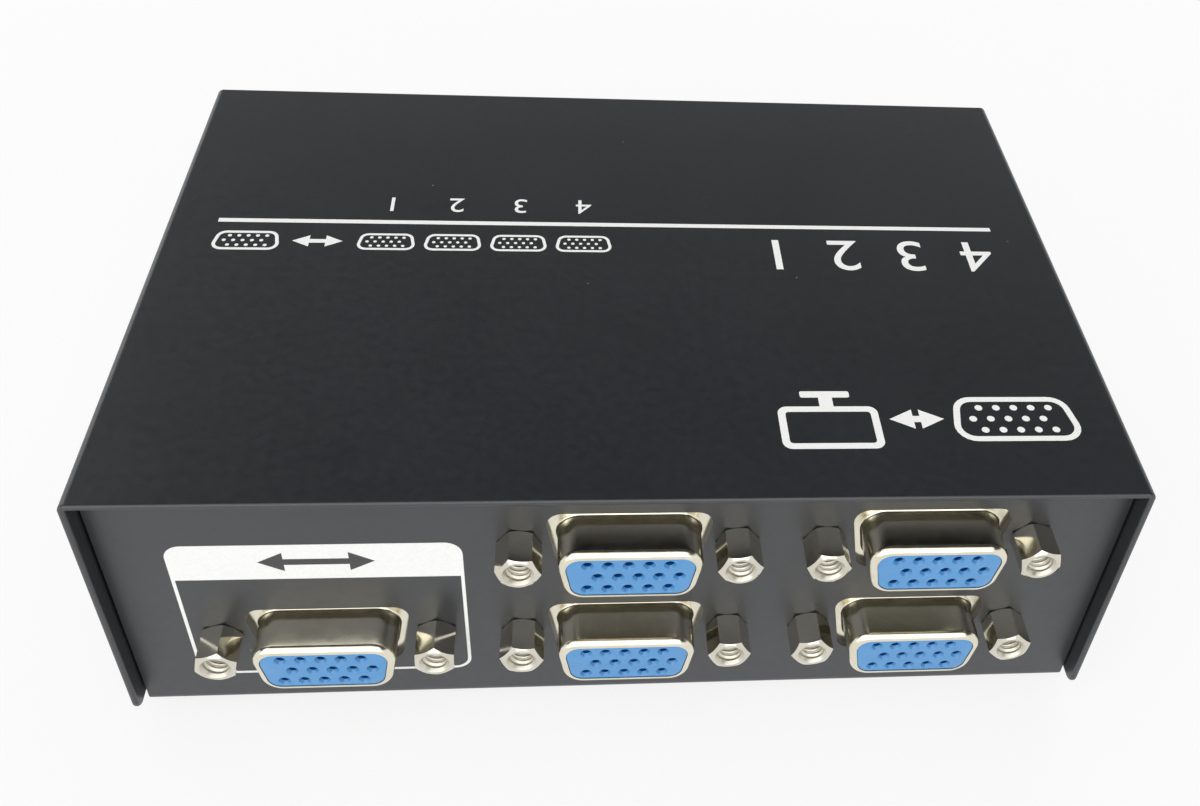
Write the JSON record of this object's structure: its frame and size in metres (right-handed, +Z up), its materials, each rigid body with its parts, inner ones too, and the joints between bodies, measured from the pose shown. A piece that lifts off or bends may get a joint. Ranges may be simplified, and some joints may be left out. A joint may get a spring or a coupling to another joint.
{
  "type": "video switch box",
  "caption": "Passive video switch in a folded black steel case, with stacked D-shaped 15-way sockets and hex screw locks on one panel and interlocked push buttons on the other.",
  "frame": {"origin": "under the middle of the case, level with the soles of the feet", "axes": "+X across the panels, -Y out of the socket panel, +Y out of the button panel, +Z up"},
  "size_m": [0.1222, 0.089, 0.041],
  "materials": {
    "case": "satin black powder coat",
    "black_screw": "black oxide",
    "rubber": "matt",
    "nickel": "bright nickel plate",
    "blue_moulding": "moulded",
    "contact_brass": "plated",
    "black_moulding": "moulded",
    "zinc_steel": "zinc plated",
    "board": "solder mask over glass fibre",
    "white_moulding": "moulded",
    "spring_steel": "drawn wire",
    "cap_plastic": "moulded"
  },
  "bodies": {
    "case": {"top_cover": "case", "bottom_tray": "case", "cover_screws": "black_screw", "rubber_feet": "rubber", "common_port_shell": "nickel", "common_port_insulator": "blue_moulding", "common_port_contacts": "contact_brass", "common_port_jackscrews": "nickel", "port_1_shell": "nickel", "port_1_insulator": "blue_moulding", "port_1_contacts": "contact_brass", "port_1_jackscrews": "nickel", "port_2_shell": "nickel", "port_2_insulator": "blue_moulding", "port_2_contacts": "contact_brass", "port_2_jackscrews": "nickel", "port_3_shell": "nickel", "port_3_insulator": "blue_moulding", "port_3_contacts": "contact_brass", "port_3_jackscrews": "nickel", "port_4_shell": "nickel", "port_4_insulator": "blue_moulding", "port_4_contacts": "contact_brass", "port_4_jackscrews": "nickel", "common_port_housing": "black_moulding", "common_port_bracket": "zinc_steel", "stack_1_housing": "black_moulding", "stack_1_bracket": "zinc_steel", "stack_2_housing": "black_moulding", "stack_2_bracket": "zinc_steel", "main_board": "board", "board_standoffs": "contact_brass", "board_screws": "zinc_steel", "switch_bracket": "zinc_steel", "switch_terminals": "zinc_steel", "switch_body_1": "white_moulding", "plunger_spring_1": "spring_steel", "switch_body_2": "white_moulding", "plunger_spring_2": "spring_steel", "switch_body_3": "white_moulding", "plunger_spring_3": "spring_steel", "switch_body_4": "white_moulding", "plunger_spring_4": "spring_steel", "latch_spring": "spring_steel"},
    "button_1": {"plunger_1": "white_moulding", "button_cap_1": "cap_plastic"},
    "button_2": {"plunger_2": "white_moulding", "button_cap_2": "cap_plastic"},
    "button_3": {"plunger_3": "white_moulding", "button_cap_3": "cap_plastic"},
    "button_4": {"plunger_4": "white_moulding", "button_cap_4": "cap_plastic"},
    "latch": {"latch_bar": "zinc_steel"}
  },
  "joints": [
    {"name": "button_1_press", "type": "slide", "parent": "case", "child": "button_1", "axis": [0, -1, 0], "range_m": [0, 0.004], "stiffness_N_per_m": 300, "springref_m": -0.003, "deforming": ["plunger_spring_1"]},
    {"name": "button_2_press", "type": "slide", "parent": "case", "child": "button_2", "axis": [0, -1, 0], "range_m": [0, 0.004], "stiffness_N_per_m": 300, "springref_m": -0.003, "deforming": ["plunger_spring_2"]},
    {"name": "button_3_press", "type": "slide", "parent": "case", "child": "button_3", "axis": [0, -1, 0], "range_m": [0, 0.004], "stiffness_N_per_m": 300, "springref_m": -0.003, "deforming": ["plunger_spring_3"]},
    {"name": "button_4_press", "type": "slide", "parent": "case", "child": "button_4", "axis": [0, -1, 0], "range_m": [0, 0.004], "stiffness_N_per_m": 300, "springref_m": -0.003, "deforming": ["plunger_spring_4"]},
    {"name": "latch_slide", "type": "slide", "parent": "case", "child": "latch", "axis": [1, 0, 0], "range_m": [0, 0.0015], "stiffness_N_per_m": 300, "springref_m": -0.003, "deforming": ["latch_spring"]}
  ]
}
